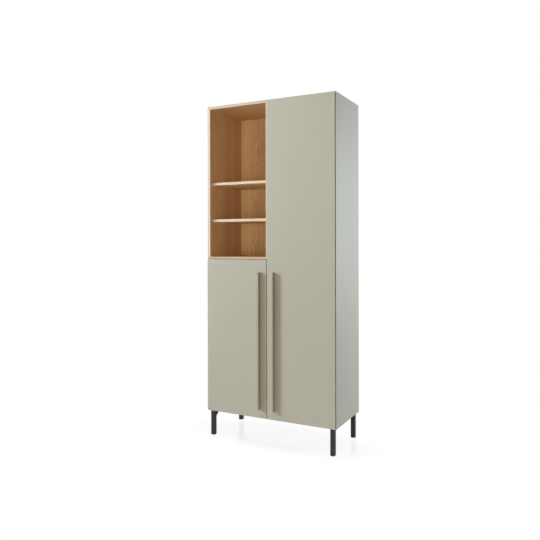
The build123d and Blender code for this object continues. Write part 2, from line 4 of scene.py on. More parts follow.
import bmesh
import bpy
import numpy as np
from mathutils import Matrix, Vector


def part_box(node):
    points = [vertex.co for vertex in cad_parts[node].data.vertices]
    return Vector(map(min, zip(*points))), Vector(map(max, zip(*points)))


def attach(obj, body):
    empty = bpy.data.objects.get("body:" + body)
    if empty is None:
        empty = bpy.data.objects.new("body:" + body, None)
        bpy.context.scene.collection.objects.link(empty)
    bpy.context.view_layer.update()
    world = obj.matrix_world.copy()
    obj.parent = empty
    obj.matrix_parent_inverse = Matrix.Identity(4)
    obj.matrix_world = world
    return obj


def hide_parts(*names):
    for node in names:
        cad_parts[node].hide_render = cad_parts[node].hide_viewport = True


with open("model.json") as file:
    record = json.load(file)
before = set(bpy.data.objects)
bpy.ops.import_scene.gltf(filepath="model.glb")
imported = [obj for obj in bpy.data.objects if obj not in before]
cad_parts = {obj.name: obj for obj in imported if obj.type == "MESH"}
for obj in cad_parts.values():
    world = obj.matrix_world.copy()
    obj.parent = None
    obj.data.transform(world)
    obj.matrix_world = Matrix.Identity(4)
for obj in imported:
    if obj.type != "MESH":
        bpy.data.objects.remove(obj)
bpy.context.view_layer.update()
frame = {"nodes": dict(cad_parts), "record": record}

nodes = frame["nodes"]
print("cabinet loaded,", len(nodes), "nodes")

scene = bpy.context.scene
scene.view_settings.view_transform = "Standard"


camera = {
    "place": (1.54471, -3.12168, 1.18132),
    "turn": (90.0, 0.104, 27.466),  # degrees
    "lens": 38.374,
    "shiftY": -0.05351,
}

# degrees to the right of the front and above level, metres from the aim, size across and up, watts, colour
lamps = {
    "key": {"from": (-50.0, 15.0, 7.0), "size": (2.4, 1.9), "watts": 284.0, "colour": (0.92, 1.0, 1.08)},
    "front": {"from": (5.0, 0.0, 6.0), "size": (2.4, 1.6), "watts": 62.0, "colour": (1.18, 1.0, 0.72)},
    "above": {"from": (-15.0, 65.0, 4.2), "size": (2.0, 2.0), "watts": 31.0, "colour": (1.22, 1.0, 0.77)},
    "rim": {"from": (128.0, 8.0, 2.8), "size": (1.0, 1.5), "watts": 45.0, "colour": (0.94, 1.0, 1.08)},
}
lampAim = np.array((0.0, 0.0, 1.0))

room = {
    "sky": (0.04, 0.04, 0.04),  # what lights the object from all round
    "floorColour": (0.82, 0.82, 0.815),
    "floorGlow": 0.95,  # share of the floor seen as plain white, the rest takes shadows
    "glowStretch": (1.0, 2.6, 1.0),
    "glowEdge": (0.32, 0.72),  # metres from the middle, between which all of it becomes plain white
    "polish": 0.15,  # how much the floor inside that edge mirrors the legs
    "polishRoughness": 0.2,
    "floorReach": 9.0,
    "floorPoints": 33,  # along each edge
}


def makeCamera():
    data = bpy.data.cameras.new("camera")
    data.sensor_width = 36.0
    data.lens = camera["lens"]
    data.shift_y = camera["shiftY"]
    data.clip_end = 60.0
    view = bpy.data.objects.new("camera", data)
    view.location = camera["place"]
    view.rotation_euler = [math.radians(angle) for angle in camera["turn"]]
    scene.collection.objects.link(view)
    scene.camera = view


def makeLamps():
    for name, lamp in lamps.items():
        data = bpy.data.lights.new(name, "AREA")
        data.shape = "RECTANGLE"
        data.size, data.size_y = lamp["size"]
        data.energy = lamp["watts"]
        data.color = lamp["colour"]
        light = bpy.data.objects.new(name, data)
        turn, rise, distance = lamp["from"]
        turn, rise = math.radians(turn), math.radians(rise)
        level = math.cos(rise)
        away = np.array((math.sin(turn) * level, -math.cos(turn) * level, math.sin(rise)))
        light.location = lampAim + distance * away
        light.rotation_euler = (math.pi / 2 - rise, 0.0, turn)  # the lamp shines along its own -Z
        scene.collection.objects.link(light)


def feed(tree, socket, value):
    # a socket takes either another node's output or a plain number, vector or colour
    if isinstance(value, bpy.types.NodeSocket):
        tree.links.new(value, socket)
    elif value is not None:
        socket.default_value = value


def addNode(tree, kind, place, sockets=None, **settings):
    node = tree.nodes.new(kind)
    node.location = place
    for name, value in settings.items():
        setattr(node, name, value)
    for name, value in (sockets or {}).items():
        feed(tree, node.inputs[name], value)
    return node


def calc(tree, place, operation, first, second=None, third=None, clamp=False):
    node = addNode(tree, "ShaderNodeMath", place, operation=operation, use_clamp=clamp)
    for socket, value in zip(node.inputs, (first, second, third)):
        feed(tree, socket, value)
    return node.outputs[0]


def mixColours(tree, place, share, first, second, blend="MIX"):
    node = addNode(tree, "ShaderNodeMix", place, data_type="RGBA", blend_type=blend)
    feed(tree, node.inputs[0], share)
    feed(tree, node.inputs[6], first)
    feed(tree, node.inputs[7], second)
    return node.outputs[2]


def remap(tree, place, value, low, high, newLow=0.0, newHigh=1.0, smooth=False):
    node = addNode(tree, "ShaderNodeMapRange", place, clamp=True)
    node.interpolation_type = "SMOOTHSTEP" if smooth else "LINEAR"
    for socket, entry in zip(node.inputs, (value, low, high, newLow, newHigh)):
        feed(tree, socket, entry)
    return node.outputs[0]


def noise(tree, place, vector, scale, detail=2.0, roughness=0.5, distortion=0.0):
    sockets = {"Vector": vector, "Scale": scale, "Detail": detail}
    sockets.update({"Roughness": roughness, "Distortion": distortion})
    return addNode(tree, "ShaderNodeTexNoise", place, sockets).outputs["Fac"]


def stretch(tree, place, vector, scale, shift=(0.0, 0.0, 0.0), turn=(0.0, 0.0, 0.0)):
    sockets = {"Vector": vector, "Location": shift, "Rotation": turn, "Scale": scale}
    return addNode(tree, "ShaderNodeMapping", place, sockets).outputs["Vector"]


def grey(level):
    return (level, level, level, 1.0)


def colour(red, green, blue):
    # a screen colour, 0 to 255, as the linear colour that shaders take
    parts = np.array((red, green, blue)) / 255.0
    linear = np.where(parts <= 0.04045, parts / 12.92, ((parts + 0.055) / 1.055) ** 2.4)
    return (*[float(part) for part in linear], 1.0)


def newGroup(name, inputs, outputs):
    # an empty node group; returns its tree, its entry sockets and its exit sockets
    tree = bpy.data.node_groups.new(name, "ShaderNodeTree")
    for label, kind, value in inputs:
        socket = tree.interface.new_socket(label, in_out="INPUT", socket_type="NodeSocket" + kind)
        if value is not None:
            socket.default_value = value
    for label, kind in outputs:
        tree.interface.new_socket(label, in_out="OUTPUT", socket_type="NodeSocket" + kind)
    entry = tree.nodes.new("NodeGroupInput")
    entry.location = (-1300, 0)
    leave = tree.nodes.new("NodeGroupOutput")
    leave.location = (700, 0)
    return tree, entry.outputs, leave.inputs


def useGroup(tree, group, place, sockets):
    node = addNode(tree, "ShaderNodeGroup", place, node_tree=group)
    for name, value in sockets.items():
        feed(tree, node.inputs[name], value)
    return node.outputs


def makeEdgeRub():
    # Where a small rolling ball would touch two faces at once, the rounded normal leaves the flat one.
    # That difference, broken up by noise, is the rubbed edge; the rounded normal goes out as well.
    inputs = [("Radius", "Float", 0.0008), ("Amount", "Float", 0.5), ("Break Up", "Float", 120.0),
              ("Vector", "Vector", None)]
    tree, entry, leave = newGroup("edgeRub", inputs, [("Mask", "Float"), ("Normal", "Vector")])
    rounded = addNode(tree, "ShaderNodeBevel", (-1000, 200), {"Radius": entry["Radius"]}, samples=4)
    flat = addNode(tree, "ShaderNodeNewGeometry", (-1000, -50))
    dot = addNode(tree, "ShaderNodeVectorMath", (-780, 100), operation="DOT_PRODUCT")
    feed(tree, dot.inputs[0], rounded.outputs["Normal"])
    feed(tree, dot.inputs[1], flat.outputs["True Normal"])
    lean = calc(tree, (-580, 100), "SUBTRACT", 1.0, dot.outputs["Value"])
    edge = remap(tree, (-380, 100), lean, 0.015, 0.22)
    patches = noise(tree, (-580, -200), entry["Vector"], entry["Break Up"], 3.0, 0.6)
    broken = remap(tree, (-380, -200), patches, 0.38, 0.66)
    worn = calc(tree, (-160, 50), "MULTIPLY", edge, broken)
    feed(tree, leave["Mask"], calc(tree, (60, 50), "MULTIPLY", worn, entry["Amount"], clamp=True))
    feed(tree, leave["Normal"], rounded.outputs["Normal"])
    return tree


def makeDust():
    # Dust lies on faces that look up: the normal's height, past a threshold, times soft patches.
    inputs = [("Amount", "Float", 0.2), ("Vector", "Vector", None)]
    tree, entry, leave = newGroup("settledDust", inputs, [("Mask", "Float")])
    flat = addNode(tree, "ShaderNodeNewGeometry", (-900, 100))
    parts = addNode(tree, "ShaderNodeSeparateXYZ", (-700, 100), {"Vector": flat.outputs["True Normal"]})
    up = remap(tree, (-500, 100), parts.outputs["Z"], 0.55, 0.95, smooth=True)
    cloud = noise(tree, (-700, -150), entry["Vector"], 7.0, 5.0, 0.6)
    patches = remap(tree, (-500, -150), cloud, 0.3, 0.75)
    grains = noise(tree, (-700, -400), entry["Vector"], 420.0, 1.0)
    specks = remap(tree, (-500, -400), grains, 0.6, 0.72)
    together = calc(tree, (-250, -200), "MULTIPLY_ADD", specks, 0.35, patches)
    lying = calc(tree, (-50, 0), "MULTIPLY", up, together)
    feed(tree, leave["Mask"], calc(tree, (150, 0), "MULTIPLY", lying, entry["Amount"], clamp=True))
    return tree


def makeMottle():
    # Slow drifts of shade over a surface, as a factor around one, and the same drift as a mask.
    inputs = [("Vector", "Vector", None), ("Scale", "Float", 2.0), ("Amount", "Float", 0.03)]
    tree, entry, leave = newGroup("mottle", inputs, [("Factor", "Float"), ("Mask", "Float")])
    slow = noise(tree, (-1000, 100), entry["Vector"], entry["Scale"], 3.0, 0.55)
    finer = calc(tree, (-1150, -200), "MULTIPLY", entry["Scale"], 9.0)
    fast = noise(tree, (-1000, -150), entry["Vector"], finer, 2.0)
    both = calc(tree, (-780, 0), "MULTIPLY_ADD", fast, 0.3, slow)
    drift = remap(tree, (-560, 0), both, 0.4, 0.9, -1.0, 1.0)
    feed(tree, leave["Factor"], calc(tree, (-300, 0), "MULTIPLY_ADD", drift, entry["Amount"], 1.0))
    feed(tree, leave["Mask"], remap(tree, (-300, -200), both, 0.4, 0.9))
    return tree


def makeTooth():
    # The fine skin of sprayed and moulded surfaces:
    # rounded cells over finer noise, as a height from 0 to 1.
    inputs = [("Vector", "Vector", None), ("Scale", "Float", 600.0), ("Grit", "Float", 0.4)]
    tree, entry, leave = newGroup("sprayedSkin", inputs, [("Height", "Float"), ("Speckle", "Float")])
    soft = noise(tree, (-1000, 100), entry["Vector"], entry["Scale"], 1.0, 0.4)
    finer = calc(tree, (-1150, -200), "MULTIPLY", entry["Scale"], 3.1)
    grit = noise(tree, (-1000, -150), entry["Vector"], finer, 2.0, 0.6)
    feed(tree, leave["Height"], calc(tree, (-700, 0), "MULTIPLY_ADD", grit, entry["Grit"], soft))
    feed(tree, leave["Speckle"], remap(tree, (-700, -200), grit, 0.3, 0.7))
    return tree


def makeBrushed():
    # Fine scratches along one direction: noise stretched a hundredfold, as a height and as a mask.
    inputs = [("Vector", "Vector", None), ("Scale", "Float", 900.0)]
    tree, entry, leave = newGroup("platedSteel", inputs, [("Height", "Float"), ("Mask", "Float")])
    long = stretch(tree, (-1000, 100), entry["Vector"], (1.0, 1.0, 0.02))
    lines = noise(tree, (-780, 100), long, entry["Scale"], 2.0, 0.6)
    cloud = noise(tree, (-780, -150), entry["Vector"], 60.0, 3.0, 0.6)
    feed(tree, leave["Height"], lines)
    clouded = calc(tree, (-640, -120), "MULTIPLY", cloud, 0.6)
    feed(tree, leave["Mask"], calc(tree, (-500, 0), "MULTIPLY_ADD", lines, 0.4, clouded))
    return tree


def makeWood():
    # Grain runs along Z of the vector that comes in.
    # Growth rings are distance from a far pith line, bent by slow noise and folded into saw teeth.
    # Pores are short dark dashes, thick in each ring's early wood.
    # Flecks are pale rays across the grain.
    inputs = [
        ("Vector", "Vector", None), ("Rings", "Float", 95.0), ("Light", "Color", None),
        ("Middle", "Color", None), ("Dark", "Color", None),
        ("Pores", "Float", 0.6), ("Flecks", "Float", 0.3),
    ]
    outputs = [("Color", "Color"), ("Height", "Float"), ("Sheen", "Float")]
    tree, entry, leave = newGroup("woodGrain", inputs, outputs)
    vector = entry["Vector"]

    def streaks(height, scale, detail, roughness):
        # noise drawn out along the grain
        drawn = stretch(tree, (-1500, height), vector, scale)
        return noise(tree, (-1280, height), drawn, 1.0, detail, roughness)

    bend = streaks(500, (2.4, 2.4, 0.7), 2.0, 0.45)
    parts = addNode(tree, "ShaderNodeSeparateXYZ", (-1700, 0), {"Vector": vector})
    across = calc(tree, (-1080, 150), "MULTIPLY_ADD", bend, 0.17, parts.outputs["X"])
    sway = streaks(-150, (1.3, 1.3, 1.0), 2.0, 0.5)
    deep = calc(tree, (-1080, -50), "MULTIPLY_ADD", sway, 0.16, parts.outputs["Y"])
    squared = calc(tree, (-930, -100), "MULTIPLY", deep, deep)
    squared = calc(tree, (-930, 50), "MULTIPLY_ADD", across, across, squared)
    distance = calc(tree, (-780, 50), "SQRT", squared)
    ring = calc(tree, (-640, 50), "MULTIPLY", distance, entry["Rings"])
    jitter = streaks(-350, (60.0, 60.0, 2.5), 2.0, 0.5)
    ring = calc(tree, (-500, 0), "MULTIPLY_ADD", jitter, 0.55, ring)
    ringed = calc(tree, (-360, 50), "FRACT", ring)
    early = remap(tree, (-200, 150), ringed, 0.0, 0.55, 1.0, 0.0, smooth=True)
    late = remap(tree, (-200, -50), ringed, 0.8, 1.0, 0.0, 0.22, smooth=True)
    fibre = streaks(-550, (420.0, 420.0, 7.0), 3.0, 0.65)
    broad = remap(tree, (-1000, -750), streaks(-750, (48.0, 48.0, 1.6), 3.0, 0.6), 0.3, 0.7)
    dash = remap(tree, (-1000, -950), streaks(-950, (1500.0, 1500.0, 55.0), 1.0, 0.5), 0.6, 0.72)
    ray = remap(tree, (-1000, -1150), streaks(-1150, (90.0, 240.0, 60.0), 0.0, 0.5), 0.62, 0.76)
    crowd = remap(tree, (-800, -1050), early, 0.0, 1.0, 0.25, 1.0)
    pore = calc(tree, (-600, -950), "MULTIPLY", dash, crowd)
    pore = calc(tree, (-440, -950), "MULTIPLY", pore, entry["Pores"])
    fleck = calc(tree, (-600, -1150), "MULTIPLY", ray, entry["Flecks"])
    shade = calc(tree, (-800, -550), "MULTIPLY", fibre, 0.55)
    shade = calc(tree, (-640, -550), "MULTIPLY_ADD", early, 0.36, shade)
    shade = calc(tree, (-480, -550), "MULTIPLY_ADD", broad, 0.36, shade)
    paler = remap(tree, (-300, -400), shade, 0.2, 0.75)
    darker = remap(tree, (-300, -650), shade, 0.7, 1.25)
    wood = mixColours(tree, (-100, 300), paler, entry["Light"], entry["Middle"])
    wood = mixColours(tree, (60, 200), darker, wood, entry["Dark"])
    wood = mixColours(tree, (220, 100), late, wood, entry["Dark"])
    poreColour = mixColours(tree, (220, -200), 1.0, entry["Dark"], grey(0.45), "MULTIPLY")
    wood = mixColours(tree, (380, 0), pore, wood, poreColour)
    feed(tree, leave["Color"], mixColours(tree, (540, 0), fleck, wood, entry["Light"]))
    height = calc(tree, (160, -400), "MULTIPLY", early, -0.12)
    height = calc(tree, (320, -300), "MULTIPLY_ADD", fibre, 0.35, height)
    feed(tree, leave["Height"], calc(tree, (480, -300), "SUBTRACT", height, pore))
    feed(tree, leave["Sheen"], calc(tree, (480, -500), "MULTIPLY_ADD", fleck, -0.2, fibre))
    return tree


edgeRub = makeEdgeRub()
settledDust = makeDust()
mottle = makeMottle()
sprayedSkin = makeTooth()
platedSteel = makeBrushed()
woodGrain = makeWood()
print("shader groups made")


def newFinish(name):
    # a material with its shader and the object's own coordinates
    material = bpy.data.materials.new(name)
    material.use_nodes = True
    tree = material.node_tree
    tree.nodes.clear()
    shader = addNode(tree, "ShaderNodeBsdfPrincipled", (500, 0))
    output = addNode(tree, "ShaderNodeOutputMaterial", (800, 0), {"Surface": shader.outputs[0]})
    output.is_active_output = True
    coordinates = addNode(tree, "ShaderNodeTexCoord", (-1500, 0)).outputs["Object"]
    return material, tree, shader.inputs, coordinates


def bumped(tree, height, depth, normal, strength=1.0):
    sockets = {"Height": height, "Distance": depth, "Strength": strength, "Normal": normal}
    return addNode(tree, "ShaderNodeBump", (250, -300), sockets).outputs["Normal"]


lacquer = {
    "colour": colour(187, 186, 172),
    "handle": colour(186, 182, 164),
    "rubbed": colour(205, 202, 188),
    "dust": colour(206, 203, 196),
    "gloss": (0.40, 0.50),  # roughness, low and high
    "skinScale": 520.0,
    "skinDepth": 0.00003,
}


def makeLacquer(name, shade="colour", edgeRadius=0.0009, dust=0.25, rub=0.45):
    material, tree, shader, spot = newFinish(name)
    drift = useGroup(tree, mottle, (-1100, 300), {"Vector": spot, "Scale": 1.7, "Amount": 0.014})
    rubbed = useGroup(tree, edgeRub, (-1100, 0), {"Radius": edgeRadius, "Amount": rub, "Vector": spot})
    laid = useGroup(tree, settledDust, (-1100, -250), {"Amount": dust, "Vector": spot})
    cells = {"Vector": spot, "Scale": lacquer["skinScale"], "Grit": 0.25}
    skin = useGroup(tree, sprayedSkin, (-1100, -450), cells)
    tinted = mixColours(tree, (-700, 300), 1.0, lacquer[shade], drift["Factor"], "MULTIPLY")
    tinted = mixColours(tree, (-500, 300), rubbed["Mask"], tinted, lacquer["rubbed"])
    tinted = mixColours(tree, (-300, 300), laid["Mask"], tinted, lacquer["dust"])
    feed(tree, shader["Base Color"], tinted)
    sheen = remap(tree, (-700, 0), drift["Mask"], 0.0, 1.0, *lacquer["gloss"])
    sheen = calc(tree, (-500, 0), "MULTIPLY_ADD", skin["Speckle"], 0.03, sheen)
    sheen = calc(tree, (-300, 0), "MULTIPLY_ADD", laid["Mask"], 0.35, sheen, clamp=True)
    feed(tree, shader["Roughness"], sheen)
    feed(tree, shader["Normal"], bumped(tree, skin["Height"], lacquer["skinDepth"], rubbed["Normal"]))
    return material


oak = {
    "light": colour(236, 206, 164),
    "middle": colour(223, 189, 145),
    "dark": colour(192, 152, 107),
    "lipLight": colour(236, 222, 204),
    "lipMiddle": colour(229, 209, 187),
    "lipDark": colour(210, 182, 153),
    "rings": 125.0,  # growth rings in a metre
    "lipRings": 190.0,
    "joinSoft": 0.005,
    # heights between which the painted light below the upper shelf fades out
    "paintedLightEdges": (1.5, 1.55),
    "roughness": (0.5, 0.66),
    "grainDepth": 0.00006,
}


# Every board is cut from another place in the log, with its grain along the named axis.
# The veneer is laid leaf by leaf across the other axis.
# Each leaf and each lip has its own red, green and blue tone.
# On the niche's left wall the leaf tones darken towards the back, and on its back they darken towards the
# right: painted shade.
# The wood below the upper shelf is made paler by the factors given for that: painted light for the brighter
# lower compartments.
oakBoards = {
    "niche_side_left": {
        "along": "Z",
        "shift": (0.33, 0.02, 0.4),
        "across": "Y",
        "joins": (0.0, 0.12),
        # leaf tones darken towards the back: painted shade
        "leafTonesAndPaintedShade": ((1.0, 0.98, 0.98), (0.91, 0.85, 0.91), (0.84, 0.76, 0.82)),
        "lip": (1.08, 1.09, 1.09),
        # painted light: the wood is made paler below the upper shelf
        "paintedLowLight": (1.09, 1.12, 1.14),
    },
    "niche_side_right": {
        "along": "Z",
        "shift": (-0.04, 0.05, 1.7),
        "across": "Y",
        "joins": (0.03,),
        "leafTonesAndPaintedShade": ((0.95, 0.93, 0.93), (0.88, 0.84, 0.86)),
        "lip": (0.9, 0.88, 0.85),
    },
    "niche_back": {
        "along": "Z",
        "shift": (0.2, -0.22, 0.0),
        "across": "X",
        "joins": (-0.325, -0.28, -0.11),
        # leaf tones darken towards the right: painted shade
        "leafTonesAndPaintedShade": ((1.01, 1.04, 1.03), (0.96, 0.94, 0.93), (0.82, 0.78, 0.75), (0.81, 0.78, 0.77)),
        "lip": None,
        # painted light: the wood is made paler below the upper shelf
        "paintedLowLight": (1.09, 1.12, 1.14),
    },
    "niche_top": {
        "along": "X",
        "shift": (-1.93, 0.02, 0.9),
        "across": "Y",
        "joins": (),
        "leafTonesAndPaintedShade": ((0.83, 0.755, 0.71),),
        "lip": (0.9, 0.87, 0.84),
    },
    "niche_floor": {
        "along": "X",
        "shift": (-1.04, -0.05, 0.2),
        "across": "Y",
        "joins": (),
        "leafTonesAndPaintedShade": ((0.95, 0.93, 0.93),),
        "lip": (0.82, 0.75, 0.67),
    },
    "niche_shelf_1": {
        "along": "X",
        "shift": (-1.27, 0.06, 2.1),
        "across": "Y",
        "joins": (),
        "leafTonesAndPaintedShade": ((0.95, 0.93, 0.93),),
        "lip": (1.04, 1.01, 0.99),
    },
    "niche_shelf_2": {
        "along": "X",
        "shift": (-1.5, 0.1, 3.3),
        "across": "Y",
        "joins": (),
        "leafTonesAndPaintedShade": ((0.95, 0.93, 0.93),),
        "lip": (1.04, 1.01, 0.99),
    },
}


def toned(shade, tone):
    return (*[part * share for part, share in zip(shade, tone)], 1.0)


def leafToneAndPaintedLight(tree, spot, board):
    # the tone changes where one leaf of veneer meets the next; on the niche's left wall and back these leaf
    # tones are painted shade, and below the upper shelf painted light makes the wood paler
    place = addNode(tree, "ShaderNodeSeparateXYZ", (-1300, 700), {"Vector": spot}).outputs[board["across"]]
    tone = (*board["leafTonesAndPaintedShade"][0], 1.0)
    for join, leaf in zip(board["joins"], board["leafTonesAndPaintedShade"][1:]):
        passed = remap(tree, (-1100, 700), place, join - oak["joinSoft"], join + oak["joinSoft"])
        tone = mixColours(tree, (-900, 700), passed, tone, (*leaf, 1.0))
    # painted light: paler wood below the upper shelf, fading out between the given heights
    if "paintedLowLight" in board:
        height = addNode(tree, "ShaderNodeSeparateXYZ", (-1300, 900), {"Vector": spot}).outputs["Z"]
        above = remap(tree, (-1100, 900), height, *oak["paintedLightEdges"], smooth=True)
        low = mixColours(tree, (-900, 900), above, (*board["paintedLowLight"], 1.0), grey(1.0))
        tone = mixColours(tree, (-700, 800), 1.0, tone, low, "MULTIPLY")
    return tone


def makeOak(name):
    # boards with a lip get paler wood on their front edge
    board = oakBoards[name]
    material, tree, shader, spot = newFinish("oak_" + name)
    turn = {"Z": (0.0, 0.0, 0.0), "X": (0.0, math.radians(90), 0.0)}[board["along"]]
    grainSpot = stretch(tree, (-1300, 200), spot, (1.0, 1.0, 1.0), board["shift"], turn)
    face = {"Vector": grainSpot, "Rings": oak["rings"], "Pores": 0.65, "Flecks": 0.45}
    face.update({"Light": oak["light"], "Middle": oak["middle"], "Dark": oak["dark"]})
    veneer = useGroup(tree, woodGrain, (-1050, 250), face)
    edges = {"Radius": 0.0005, "Amount": 0.3, "Break Up": 160.0, "Vector": spot}
    rubbed = useGroup(tree, edgeRub, (-1050, -500), edges)
    laid = useGroup(tree, settledDust, (-1050, -700), {"Amount": 0.12, "Vector": spot})
    shade = mixColours(tree, (-700, 400), 1.0, veneer["Color"], leafToneAndPaintedLight(tree, spot, board), "MULTIPLY")
    height = veneer["Height"]
    if board["lip"]:
        edge = {"Vector": grainSpot, "Rings": oak["lipRings"], "Pores": 0.3, "Flecks": 0.2}
        for part in ("Light", "Middle", "Dark"):
            edge[part] = toned(oak["lip" + part], board["lip"])
        lip = useGroup(tree, woodGrain, (-1050, -100), edge)
        facing = addNode(tree, "ShaderNodeNewGeometry", (-1050, -900)).outputs["True Normal"]
        parts = addNode(tree, "ShaderNodeSeparateXYZ", (-850, -900), {"Vector": facing})
        front = remap(tree, (-650, -900), parts.outputs["Y"], -0.5, -0.4, 1.0, 0.0)
        shade = mixColours(tree, (-600, 200), front, shade, lip["Color"])
    worn = calc(tree, (-600, -400), "MULTIPLY", rubbed["Mask"], 0.5)
    shade = mixColours(tree, (-400, 200), worn, shade, oak["lipMiddle"])
    shade = mixColours(tree, (-200, 200), laid["Mask"], shade, lacquer["dust"])
    feed(tree, shader["Base Color"], shade)
    sheen = remap(tree, (-400, -100), veneer["Sheen"], 0.25, 0.75, *oak["roughness"])
    feed(tree, shader["Roughness"], sheen)
    feed(tree, shader["Normal"], bumped(tree, height, oak["grainDepth"], rubbed["Normal"]))
    return material


backSheet = {
    "front": colour(186, 183, 167),
    "rear": colour(150, 121, 90),
    "fibre": colour(120, 92, 64),
}


def makeBackSheet():
    # painted towards the room, raw pressed fibre towards the wall
    material, tree, shader, spot = newFinish("backSheet")
    drift = useGroup(tree, mottle, (-1100, 300), {"Vector": spot, "Scale": 3.0, "Amount": 0.03})
    skin = useGroup(tree, sprayedSkin, (-1100, -200), {"Vector": spot, "Scale": 260.0, "Grit": 0.7})
    facing = addNode(tree, "ShaderNodeNewGeometry", (-1100, -500)).outputs["True Normal"]
    parts = addNode(tree, "ShaderNodeSeparateXYZ", (-900, -500), {"Vector": facing})
    rear = remap(tree, (-700, -500), parts.outputs["Y"], -0.5, -0.4)
    raw = mixColours(tree, (-700, -100), skin["Speckle"], backSheet["rear"], backSheet["fibre"])
    shade = mixColours(tree, (-500, 100), rear, backSheet["front"], raw)
    feed(tree, shader["Base Color"], mixColours(tree, (-300, 200), 1.0, shade, drift["Factor"], "MULTIPLY"))
    feed(tree, shader["Roughness"], remap(tree, (-300, -50), skin["Speckle"], 0.0, 1.0, 0.6, 0.75))
    feed(tree, shader["Normal"], bumped(tree, skin["Height"], 0.00005, None))
    return material


powderCoat = {
    "colour": colour(41, 41, 42),
    "chipped": colour(80, 80, 80),
    "roughness": (0.5, 0.62),
    "specular": 0.3,
}


def makePowderCoat():
    material, tree, shader, spot = newFinish("powderCoat")
    shader["Specular IOR Level"].default_value = powderCoat["specular"]
    drift = useGroup(tree, mottle, (-1100, 300), {"Vector": spot, "Scale": 14.0, "Amount": 0.06})
    edges = {"Radius": 0.0008, "Amount": 0.5, "Break Up": 260.0, "Vector": spot}
    rubbed = useGroup(tree, edgeRub, (-1100, 0), edges)
    laid = useGroup(tree, settledDust, (-1100, -250), {"Amount": 0.2, "Vector": spot})
    skin = useGroup(tree, sprayedSkin, (-1100, -450), {"Vector": spot, "Scale": 1100.0, "Grit": 0.6})
    shade = mixColours(tree, (-700, 300), 1.0, powderCoat["colour"], drift["Factor"], "MULTIPLY")
    shade = mixColours(tree, (-500, 300), rubbed["Mask"], shade, powderCoat["chipped"])
    shade = mixColours(tree, (-300, 300), laid["Mask"], shade, lacquer["dust"])
    feed(tree, shader["Base Color"], shade)
    sheen = remap(tree, (-500, 0), skin["Speckle"], 0.0, 1.0, *powderCoat["roughness"])
    feed(tree, shader["Roughness"], sheen)
    feed(tree, shader["Normal"], bumped(tree, skin["Height"], 0.00006, rubbed["Normal"]))
    return material


metals = {
    "nickel": {
        "colour": (0.62, 0.62, 0.605, 1.0),
        "tarnish": (0.45, 0.44, 0.42, 1.0),
        "roughness": (0.22, 0.38),
        "lines": 900.0,
    },
    "zinc": {
        "colour": (0.68, 0.69, 0.68, 1.0),
        "tarnish": (0.5, 0.5, 0.47, 1.0),
        "roughness": (0.3, 0.48),
        "lines": 1500.0,
    },
}


def makeMetal(name):
    metal = metals[name]
    material, tree, shader, spot = newFinish(name)
    shader["Metallic"].default_value = 1.0
    plate = useGroup(tree, platedSteel, (-1100, 200), {"Vector": spot, "Scale": metal["lines"]})
    edges = {"Radius": 0.0003, "Amount": 0.6, "Break Up": 500.0, "Vector": spot}
    rubbed = useGroup(tree, edgeRub, (-1100, -100), edges)
    dull = remap(tree, (-800, 200), plate["Mask"], 0.35, 0.7)
    shade = mixColours(tree, (-500, 300), dull, metal["colour"], metal["tarnish"])
    shade = mixColours(tree, (-300, 300), rubbed["Mask"], shade, metal["colour"])
    feed(tree, shader["Base Color"], shade)
    sheen = remap(tree, (-500, 0), plate["Mask"], 0.3, 0.7, *metal["roughness"])
    feed(tree, shader["Roughness"], sheen)
    feed(tree, shader["Normal"], bumped(tree, plate["Height"], 0.000008, rubbed["Normal"]))
    return material


plainPieces = {
    "glidePlastic": {
        "colour": colour(44, 44, 45),
        "worn": colour(74, 74, 75),
        "roughness": (0.42, 0.58),
        "scale": 900.0,
        "depth": 0.00004,
    },
    "bumperRubber": {
        "colour": colour(205, 204, 198),
        "worn": colour(188, 186, 178),
        "roughness": (0.35, 0.5),
        "scale": 700.0,
        "depth": 0.00002,
    },
}


def makeMoulded(name):
    piece = plainPieces[name]
    material, tree, shader, spot = newFinish(name)
    cells = {"Vector": spot, "Scale": piece["scale"], "Grit": 0.5}
    skin = useGroup(tree, sprayedSkin, (-1100, 200), cells)
    edges = {"Radius": 0.0005, "Amount": 0.7, "Break Up": 300.0, "Vector": spot}
    rubbed = useGroup(tree, edgeRub, (-1100, -100), edges)
    specks = calc(tree, (-800, 300), "MULTIPLY", skin["Speckle"], 0.35)
    shade = mixColours(tree, (-600, 300), specks, piece["colour"], piece["worn"])
    shade = mixColours(tree, (-300, 300), rubbed["Mask"], shade, piece["worn"])
    feed(tree, shader["Base Color"], shade)
    sheen = remap(tree, (-500, 0), skin["Speckle"], 0.0, 1.0, *piece["roughness"])
    feed(tree, shader["Roughness"], sheen)
    feed(tree, shader["Normal"], bumped(tree, skin["Height"], piece["depth"], rubbed["Normal"]))
    return material


beech = {
    "Light": colour(226, 189, 148),
    "Middle": colour(214, 172, 128),
    "Dark": colour(186, 140, 98),
    "Rings": 240.0,
    "Pores": 0.2,
    "Flecks": 0.6,
}


def makeBeech():
    material, tree, shader, spot = newFinish("beech")
    grain = useGroup(tree, woodGrain, (-1000, 200), {"Vector": spot, **beech})
    feed(tree, shader["Base Color"], grain["Color"])
    feed(tree, shader["Roughness"], remap(tree, (-500, 0), grain["Sheen"], 0.25, 0.75, 0.55, 0.7))
    feed(tree, shader["Normal"], bumped(tree, grain["Height"], 0.00004, None))
    return material


finishes = {
    "lacquer": makeLacquer("lacquer"),
    "leg_steel": makePowderCoat(),
    "back_sheet": makeBackSheet(),
    "hinge_steel": makeMetal("nickel"),
    "zinc_steel": makeMetal("zinc"),
    "glide_plastic": makeMoulded("glidePlastic"),
    "bumper_rubber": makeMoulded("bumperRubber"),
    "beech": makeBeech(),
}

